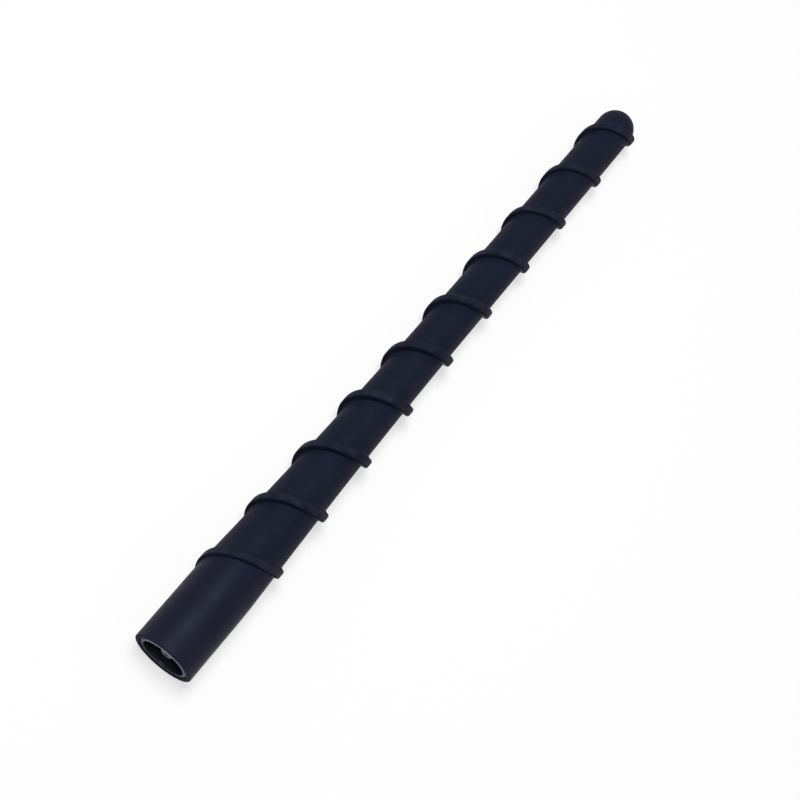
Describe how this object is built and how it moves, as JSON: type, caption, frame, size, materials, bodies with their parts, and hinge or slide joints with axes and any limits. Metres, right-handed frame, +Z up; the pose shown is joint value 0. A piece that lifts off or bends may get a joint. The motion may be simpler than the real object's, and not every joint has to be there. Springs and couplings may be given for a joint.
{
  "type": "car mast aerial",
  "caption": "Short rubber-covered mast aerial with a helical rib and a domed tip, screwed onto a car's roof base by the stud recessed in its open foot.",
  "frame": {"origin": "centre of the open lower end, on the mast's axis", "axes": "+Z runs up the mast from the fixing stud to the domed tip, and -Y is the side that the picture shows"},
  "size_m": [0.0157, 0.0155, 0.18],
  "materials": {
    "black_rubber": "matte moulded",
    "blackened_metal": "dark plated",
    "plated_steel": "dark plated",
    "glass_fibre": "drawn rod",
    "enamelled_copper": "enamelled",
    "sleeve_plastic": "shrunk on"
  },
  "bodies": {
    "root": {"rubber_sheath": "black_rubber", "base_ferrule": "blackened_metal", "threaded_stud": "plated_steel", "core_rod": "glass_fibre", "aerial_winding": "enamelled_copper", "shrink_sleeve": "sleeve_plastic"}
  },
  "joints": []
}
